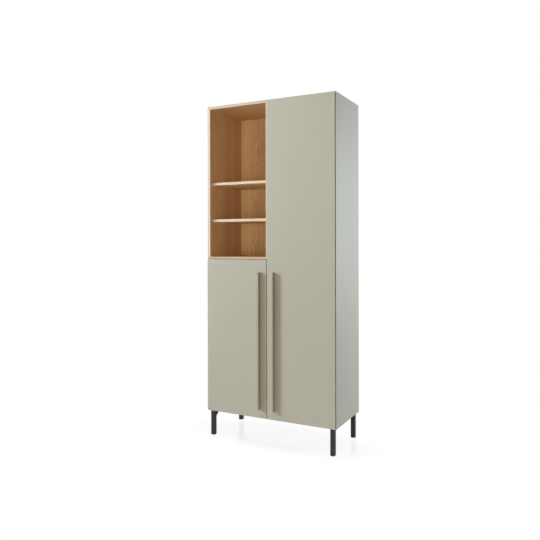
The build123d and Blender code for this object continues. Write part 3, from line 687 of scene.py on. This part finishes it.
handleLacquer = makeLacquer("handleLacquer", "handle", 0.0007, 0.15, 0.7)
slotOf = {part["node"]: part["material_slot"] for part in frame["record"]["subparts"]}
for name, node in nodes.items():
    if name in oakBoards:
        finish = makeOak(name)
    elif name.endswith("_handle"):
        finish = handleLacquer
    else:
        finish = finishes[slotOf[name]]
    for index in range(len(node.material_slots)):
        node.material_slots[index].material = finish
print("finishes on", len(nodes), "nodes")


def gridPiece(name, points, body, slotName, replaced=(), sharpAngle=38.0):
    # points has the shape copies, rows, columns, 3
    # columns close on themselves, and end rows shrink to poles
    copies, rows, columns = points.shape[:3]
    start = np.arange(copies)[:, None, None] * rows * columns
    row = np.arange(rows - 1)[None, :, None] * columns
    column = np.arange(columns)[None, None, :]
    nextColumn = (column + 1) % columns
    faces = np.stack([start + row + column, start + row + nextColumn,
                      start + row + columns + nextColumn, start + row + columns + column], axis=-1)
    mesh = bpy.data.meshes.new(name)
    mesh.from_pydata(points.reshape(-1, 3).tolist(), [], faces.reshape(-1, 4).tolist())
    work = bmesh.new()
    work.from_mesh(mesh)
    bmesh.ops.remove_doubles(work, verts=work.verts, dist=1e-7)  # closes the poles
    bmesh.ops.recalc_face_normals(work, faces=work.faces)
    work.to_mesh(mesh)
    work.free()
    mesh.polygons.foreach_set("use_smooth", np.ones(len(mesh.polygons), bool))
    mesh.set_sharp_from_angle(angle=math.radians(sharpAngle))
    mesh.materials.append(finishes[slotName])
    piece = bpy.data.objects.new(name, mesh)
    scene.collection.objects.link(piece)
    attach(piece, body)
    if replaced:
        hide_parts(*replaced)
    return piece


def turnedPoints(radii, stations, centres, axis, segments, drop=None):
    # A point is centre + axis * station + radius * (cos angle, sin angle) across the axis.
    # drop is a function of the two distances across that lowers the point along the axis.
    axis = np.array(axis, float)
    side = np.array([0.0, 0.0, 1.0]) if abs(axis[2]) < 0.5 else np.array([1.0, 0.0, 0.0])
    third = np.cross(axis, side)
    angle = np.linspace(0.0, 2.0 * np.pi, segments, endpoint=False)
    radius = np.array(radii)[:, None]
    u, v = radius * np.cos(angle), radius * np.sin(angle)
    along = np.array(stations)[:, None] + np.zeros_like(u)
    if drop is not None:
        along = along - drop(u, v, along)
    shape = u[..., None] * side + v[..., None] * third + along[..., None] * axis
    return np.array(centres, float)[:, None, None, :] + shape[None]


def solidsOf(name):
    # The lowest and highest corner of each separate solid in a CAD node.
    # Vertices at one place are joined, then each takes the lowest number that its edges lead to.
    mesh = nodes[name].data
    spots = np.empty(len(mesh.vertices) * 3, np.float32)
    mesh.vertices.foreach_get("co", spots)
    places, same = np.unique(np.round(spots.reshape(-1, 3), 6), axis=0, return_inverse=True)
    ends = np.empty(len(mesh.edges) * 2, np.int32)
    mesh.edges.foreach_get("vertices", ends)
    ends = same.reshape(-1)[ends].reshape(-1, 2)
    number, before = np.arange(len(places)), None
    while before is None or (number != before).any():
        before = number.copy()
        lowest = number[ends].min(axis=1)
        np.minimum.at(number, ends[:, 0], lowest)
        np.minimum.at(number, ends[:, 1], lowest)
        number = number[number]
    solids = [places[number == one] for one in np.unique(number)]
    return np.array([(solid.min(axis=0), solid.max(axis=0)) for solid in solids])


pin = {
    "collar": 0.0033,
    "collarLong": 0.0009,
    "inWall": 0.008,
    "reach": 0.008,
    "soft": 0.0002,
    "plugTip": 0.0004,
    "noseTip": (0.0012, 0.0004, 0.0001),  # back from the end
    "segments": 32,
}


def makePins(bay):
    # a pin turned in one piece: a plug in the wall,
    # a thin collar against it, and a nose with a rounded tip
    solids = solidsOf(bay + "_pins")
    plug = float(solids[0, 1, 1] - solids[0, 0, 1]) / 2
    collar, thick, soft = pin["collar"], pin["collarLong"], pin["soft"]
    plugRadii = [0.0, 0.7 * plug, plug, plug]
    collarRadii = [collar - soft, collar, collar, collar - soft]
    noseRadii = [0.96 * plug, 0.96 * plug, 0.86 * plug, 0.6 * plug, 0.0]
    plugStations = [-pin["inWall"], -pin["inWall"], pin["plugTip"] - pin["inWall"], 0.0]
    collarStations = [0.0, soft, thick - soft, thick]
    noseStations = [thick] + [pin["reach"] - back for back in pin["noseTip"]] + [pin["reach"]]
    radii = plugRadii + collarRadii + noseRadii
    stations = plugStations + collarStations + noseStations
    centres = solids.mean(axis=1)
    onLeft = centres[:, 0] < centres[:, 0].mean()
    sets = []
    for way in (1.0, -1.0):
        own = centres[onLeft == (way > 0)]
        sets.append(turnedPoints(radii, stations, own, (way, 0.0, 0.0), pin["segments"]))
    gridPiece(bay + "_turned_pins", np.concatenate(sets), "carcass", "zinc_steel", [bay + "_pins"])


for bay in ("niche", "left_bay", "right_bay"):
    makePins(bay)
print("shelf pins turned")


# as shares of the head's radius
crossRecess = {"arm": 0.62, "width": 0.17, "taper": 0.55, "soft": 0.09}


def recessDepth(u, v, headRadius, depth, seat):
    # Two slots at right angles, deepest in the middle, with sloping walls.
    # Nothing below the seat is lowered.
    x, y = np.abs(u) / headRadius, np.abs(v) / headRadius
    soft = crossRecess["soft"]

    def slot(a, b):
        length = np.clip((crossRecess["arm"] - a) / crossRecess["taper"], 0.0, 1.0)
        width = crossRecess["width"] * (0.45 + 0.55 * length)
        return np.clip((width - b) / soft + 0.5, 0.0, 1.0) * length ** 0.5

    cross = np.maximum(slot(x, y), slot(y, x))
    return depth * cross * seat


screwKinds = {
    # height of the head, radius of the shank, and how much lower the head's rim is than its middle
    "cup": {"high": 0.0016, "shank": 0.00175, "dome": 0.0006},
    "plate": {"high": 0.0016, "shank": 0.002, "dome": 0.0006},
    "handle": {"high": 0.0016, "shank": 0.002, "dome": 0.0006},
    "bay": {"high": 0.002, "shank": 0.002, "dome": 0.00001},
    "leg": {"high": 0.0016, "shank": 0.0025, "dome": 0.0007},
    "arm": {"high": 0.0012, "shank": 0.0018, "dome": 0.0003},
}
screwForm = {"segments": 64, "topRings": 14, "tip": (0.0004, 0.003), "rim": 0.0001, "recess": 0.72}


def screwPiece(name, kind, seats, looks, headRadius, long, body, replaced=()):
    # A bar with a pointed tip carries a domed head. The head's top falls with the square of
    # the distance from its middle, and the cross recess is cut into it.
    # seats are where the head meets the work.
    size = screwKinds[kind]
    high, shank, dome = size["high"], size["shank"], size["dome"]
    top = np.linspace(0.96, 0.0, screwForm["topRings"]) * headRadius
    rise = high - dome * (top / headRadius) ** 2
    rim = screwForm["rim"]
    shankRadii = [0.0, 0.35 * shank, shank, shank]
    rimRadii = [headRadius - rim, headRadius, headRadius]
    shankStations = [-long] + [tip - long for tip in screwForm["tip"]] + [0.0]
    rimStations = [0.0, rim, 0.8 * (high - dome)]
    radii = np.concatenate([shankRadii, rimRadii, top])
    stations = np.concatenate([shankStations, rimStations, rise])

    def drop(u, v, along):
        onHead = (along > 0.9 * (high - dome)).astype(float)
        return recessDepth(u, v, headRadius, screwForm["recess"] * high, onHead)

    points = turnedPoints(radii, stations, seats, looks, screwForm["segments"], drop)
    gridPiece(name, points, body, "zinc_steel", replaced, 30.0)


def makeScrews(name, kind, looks, body, node):
    # heads and shanks in the places and sizes of the CAD screws that they replace
    solids, looks = solidsOf(node), np.array(looks)
    axis = int(np.argmax(np.abs(looks)))
    size = solids[0, 1] - solids[0, 0]
    high = screwKinds[kind]["high"]
    seats = solids.mean(axis=1)
    seats[:, axis] = solids[:, 1 if looks[axis] > 0 else 0, axis] - looks[axis] * high
    headRadius = float(np.delete(size, axis).max()) / 2
    screwPiece(name, kind, seats, looks, headRadius, float(size[axis]) - high, body, [node])


armScrews = {"fromBack": (0.010, 0.041), "radius": 0.0029, "long": 0.004}


def makeArmAdjusters(side, looks):
    # the two adjusting screws that show in the face of each hinge arm
    arms = solidsOf(side + "_hinge_arms")
    face, middle = arms[:, 1 if looks[0] > 0 else 0, 0], arms[:, :, 2].mean(axis=1)
    seats = [np.stack([face, arms[:, 1, 1] - step, middle], axis=1) for step in armScrews["fromBack"]]
    radius, long = armScrews["radius"], armScrews["long"]
    screwPiece(side + "_arm_adjusters", "arm", np.concatenate(seats), looks, radius, long, "carcass")


for side, inward in (("left", 1.0), ("right", -1.0)):
    door, looks = side + "_door", (inward, 0.0, 0.0)
    makeScrews(side + "_cup_screw_heads", "cup", (0.0, 1.0, 0.0), door, side + "_cup_screws")
    makeScrews(side + "_plate_screw_heads", "plate", looks, "carcass", side + "_plate_screws")
    makeScrews(side + "_handle_screw_heads", "handle", (0.0, 1.0, 0.0), door, side + "_handle_screws")
    makeArmAdjusters(side, looks)

makeScrews("bay_screw_heads", "bay", (-1.0, 0.0, 0.0), "carcass", "bay_upright_screws")
makeScrews("leg_screw_heads", "leg", (0.0, 0.0, -1.0), "carcass", "leg_screws")
print("screws made")


camFace = {
    "slack": 0.0001,
    "rim": 0.0004,
    "hub": 0.6,  # as a share of the drum's radius
    "hubDeep": 0.0003,
    "groove": 0.0009,
    "soft": 0.0002,
    "recess": 0.0016,
    "rings": 12,
    "segments": 96,
}


def makeCams():
    # A drum let into the board, flush with its underside:
    # a bevelled rim, a sunk ring, and a cross recess in the hub.
    solids = solidsOf("cam_locks")
    radius = float(solids[0, 1, 0] - solids[0, 0, 0]) / 2 - camFace["slack"]
    deep = float(solids[0, 1, 2] - solids[0, 0, 2])
    hub = camFace["hub"] * radius
    rim, sunk, soft = camFace["rim"], -camFace["hubDeep"], camFace["soft"]
    groove = hub + camFace["groove"]
    drum = [0.0, radius, radius, radius - rim, groove + soft, groove, hub]
    inner = np.linspace(1.0, 0.0, camFace["rings"]) * (hub - soft)
    radii = np.concatenate([drum, inner])
    stations = np.concatenate([[-deep, -deep, -rim, 0.0, 0.0, sunk, sunk], np.zeros_like(inner)])

    def drop(u, v, along):
        inHub = (u ** 2 + v ** 2 < hub ** 2) & (along > -0.0001)
        return recessDepth(u, v, hub, camFace["recess"], inHub.astype(float))

    seats = solids.mean(axis=1)
    seats[:, 2] = solids[:, 0, 2]
    points = turnedPoints(radii, stations, seats, (0.0, 0.0, -1.0), camFace["segments"], drop)
    gridPiece("cam_faces", points, "carcass", "zinc_steel", ["cam_locks"], 30.0)


bumper = {"rimHigh": 0.35, "rings": 10, "segments": 40}  # the rim's height is a share of the whole


def makeBumpers():
    # soft dots: the radius follows a quarter of an ellipse from the rim up to the crown
    solids = solidsOf("door_bumpers")
    radius = float(solids[0, 1, 2] - solids[0, 0, 2]) / 2
    high = float(solids[0, 1, 1] - solids[0, 0, 1])
    turn = np.linspace(0.0, np.pi / 2, bumper["rings"])
    rim = bumper["rimHigh"] * high
    radii = np.concatenate([[0.0, radius], radius * np.cos(turn)])
    stations = np.concatenate([[0.0, 0.0], rim + (high - rim) * np.sin(turn)])
    seats = solids.mean(axis=1)
    seats[:, 1] = solids[:, 1, 1]
    points = turnedPoints(radii, stations, seats, (0.0, -1.0, 0.0), bumper["segments"])
    gridPiece("bumper_dots", points, "carcass", "bumper_rubber", ["door_bumpers"])


makeCams()
makeBumpers()


def squareRing(halves, turn, power=9.0):
    # a square with rounded corners: |x|^power + |y|^power is the same all the way round
    c, s = np.cos(turn), np.sin(turn)
    size = (np.abs(c) ** power + np.abs(s) ** power) ** (-1.0 / power)
    return halves[:, None] * size * c, halves[:, None] * size * s


glide = {
    "foot": 0.003,
    "wall": 0.0015,
    "bevel": 0.0007,
    "play": 0.0001,
    "soft": 0.0002,
    "ribs": (0.002, 0.0026, 0.0046, 0.0052),  # above the foot
    "ribDeep": 0.0006,
    "plugTip": 0.0012,
    "segments": 72,
}


def makeGlides():
    # a square foot with a bevelled sole under the tube, and a ribbed plug inside it
    solids = solidsOf("leg_glides")
    half = float(solids[0, 1, 0] - solids[0, 0, 0]) / 2
    tall = float(solids[0, 1, 2] - solids[0, 0, 2])
    foot, bevel, soft, tip = glide["foot"], glide["bevel"], glide["soft"], glide["plugTip"]
    plug = half - glide["wall"] - glide["play"]
    waist = plug - glide["ribDeep"]
    halves = [0.0, half - 1.6 * bevel, half - 0.5 * bevel, half, half, half - soft]
    halves += [plug, plug, waist, waist, plug, plug, plug - tip, 0.0]
    levels = [0.0, 0.0, 0.35 * bevel, bevel, foot - soft, foot, foot]
    levels += [foot + rise for rise in glide["ribs"]] + [tall - tip, tall, tall]
    halves, levels = np.array(halves), np.array(levels)
    turn = np.linspace(0.0, 2.0 * np.pi, glide["segments"], endpoint=False) + np.pi / glide["segments"]
    x, y = squareRing(halves, turn[None, :])
    shape = np.stack([x, y, levels[:, None] + np.zeros_like(x)], axis=-1)
    base = solids.mean(axis=1)
    base[:, 2] = solids[:, 0, 2]
    points = base[:, None, None, :] + shape[None]
    gridPiece("leg_glide_feet", points, "carcass", "glide_plastic", ["leg_glides"])


weld = {
    "radius": 0.0015,
    "ripple": 0.16,
    "pitch": 0.0021,
    "ends": (0.0015, 0.0215),
    "endPower": 0.18,
    "plate": 0.003,
    "steps": 61,
    "round": 12,
}


def makeWelds():
    # Beads where the two inner faces of each leg's tube meet its plate;
    # plate is how thick that is.
    # The bead's radius ripples along its run and closes to a point at both ends.
    along = np.linspace(weld["ends"][0], weld["ends"][1], weld["steps"])
    closing = np.sin(np.pi * (along - along[0]) / (along[-1] - along[0]))
    closing = np.clip(closing, 0.0, 1.0) ** weld["endPower"]
    closing[[0, -1]] = 0.0
    ripple = 1.0 + weld["ripple"] * np.sin(2.0 * np.pi * along / weld["pitch"])
    radius = weld["radius"] * closing * ripple
    angle = np.linspace(0.0, 2.0 * np.pi, weld["round"], endpoint=False)
    out, up = radius[:, None] * np.cos(angle), radius[:, None] * np.sin(angle)
    run = along[:, None] + np.zeros_like(out)
    beads = []
    foot = solidsOf("leg_glides")[0]
    tube = float(foot[1, 0] - foot[0, 0])
    for corner in ("front_left", "front_right", "back_left", "back_right"):
        low, high = (np.array(end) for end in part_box("leg_" + corner))
        wayX = 1.0 if corner.endswith("left") else -1.0
        wayY = 1.0 if corner.startswith("front") else -1.0
        startX = low[0] if wayX > 0 else high[0]
        startY = low[1] if wayY > 0 else high[1]
        plate = high[2] - weld["plate"]
        beads.append(np.stack([startX + wayX * (tube + out), startY + wayY * run, plate + up], axis=-1))
        beads.append(np.stack([startX + wayX * run, startY + wayY * (tube + out), plate + up], axis=-1))
    gridPiece("leg_welds", np.array(beads), "carcass", "leg_steel")


makeGlides()
makeWelds()
print("cams, bumpers, glides and welds made")

makeCamera()
makeLamps()


def seesWhite(tree, rays):
    # one for what the camera, mirror-like surfaces and glass see
    seen = calc(tree, (-500, 300), "MAXIMUM", rays.outputs["Is Camera Ray"], rays.outputs["Is Glossy Ray"])
    return calc(tree, (-350, 300), "MAXIMUM", seen, rays.outputs["Is Transmission Ray"])


def makeFloor():
    # a flat square grid under the object; its finish glows white to the camera and keeps the shadow
    reach, count = room["floorReach"], room["floorPoints"]
    line = np.linspace(-reach, reach, count)
    x, y = np.meshgrid(line, line, indexing="ij")
    points = np.stack([x, y, np.zeros_like(x)], axis=-1).reshape(-1, 3)
    row = np.arange(count - 1)
    corner = (row[:, None] * count + row[None, :]).reshape(-1)
    faces = np.stack([corner, corner + count, corner + count + 1, corner + 1], axis=-1)
    mesh = bpy.data.meshes.new("floor")
    mesh.from_pydata(points.tolist(), [], faces.tolist())
    material = bpy.data.materials.new("floor")
    material.use_nodes = True
    tree = material.node_tree
    tree.nodes.clear()
    plain = addNode(tree, "ShaderNodeBsdfDiffuse", (0, 100), {"Color": (*room["floorColour"], 1.0)})
    white = addNode(tree, "ShaderNodeEmission", (0, -100), {"Color": grey(1.0), "Strength": 1.0})
    rays = addNode(tree, "ShaderNodeLightPath", (-700, 300))
    seen = seesWhite(tree, rays)
    spot = addNode(tree, "ShaderNodeTexCoord", (-1000, 0)).outputs["Object"]
    oval = stretch(tree, (-800, 0), spot, room["glowStretch"])
    distance = addNode(tree, "ShaderNodeVectorMath", (-600, 0), {0: oval}, operation="LENGTH")
    beyond = remap(tree, (-400, 0), distance.outputs["Value"], *room["glowEdge"], smooth=True)
    glow = calc(tree, (-300, 100), "MULTIPLY_ADD", beyond, 1.0 - room["floorGlow"], room["floorGlow"])
    share = calc(tree, (-200, 200), "MULTIPLY", seen, glow)
    sockets = {0: share, 1: plain.outputs[0], 2: white.outputs[0]}
    blend = addNode(tree, "ShaderNodeMixShader", (250, 0), sockets)
    mirror = addNode(tree, "ShaderNodeBsdfGlossy", (250, -200), {"Roughness": room["polishRoughness"]})
    polish = calc(tree, (-200, 400), "MULTIPLY_ADD", beyond, -room["polish"], room["polish"])
    polish = calc(tree, (0, 300), "MULTIPLY", rays.outputs["Is Camera Ray"], polish)
    sockets = {0: polish, 1: blend.outputs[0], 2: mirror.outputs[0]}
    whole = addNode(tree, "ShaderNodeMixShader", (450, 0), sockets)
    addNode(tree, "ShaderNodeOutputMaterial", (650, 0), {"Surface": whole.outputs[0]})
    mesh.materials.append(material)
    floor = bpy.data.objects.new("floor", mesh)
    scene.collection.objects.link(floor)


def makeSky():
    # the sky lights evenly, but what looks straight at it sees plain white
    sky = bpy.data.worlds.new("sky")
    scene.world = sky
    sky.use_nodes = True
    tree = sky.node_tree
    tree.nodes.clear()
    rays = addNode(tree, "ShaderNodeLightPath", (-700, 300))
    shade = mixColours(tree, (0, 0), seesWhite(tree, rays), (*room["sky"], 1.0), grey(1.0))
    background = addNode(tree, "ShaderNodeBackground", (200, 0), {"Color": shade, "Strength": 1.0})
    addNode(tree, "ShaderNodeOutputWorld", (400, 0), {"Surface": background.outputs[0]})


makeFloor()
makeSky()
print("studio ready")
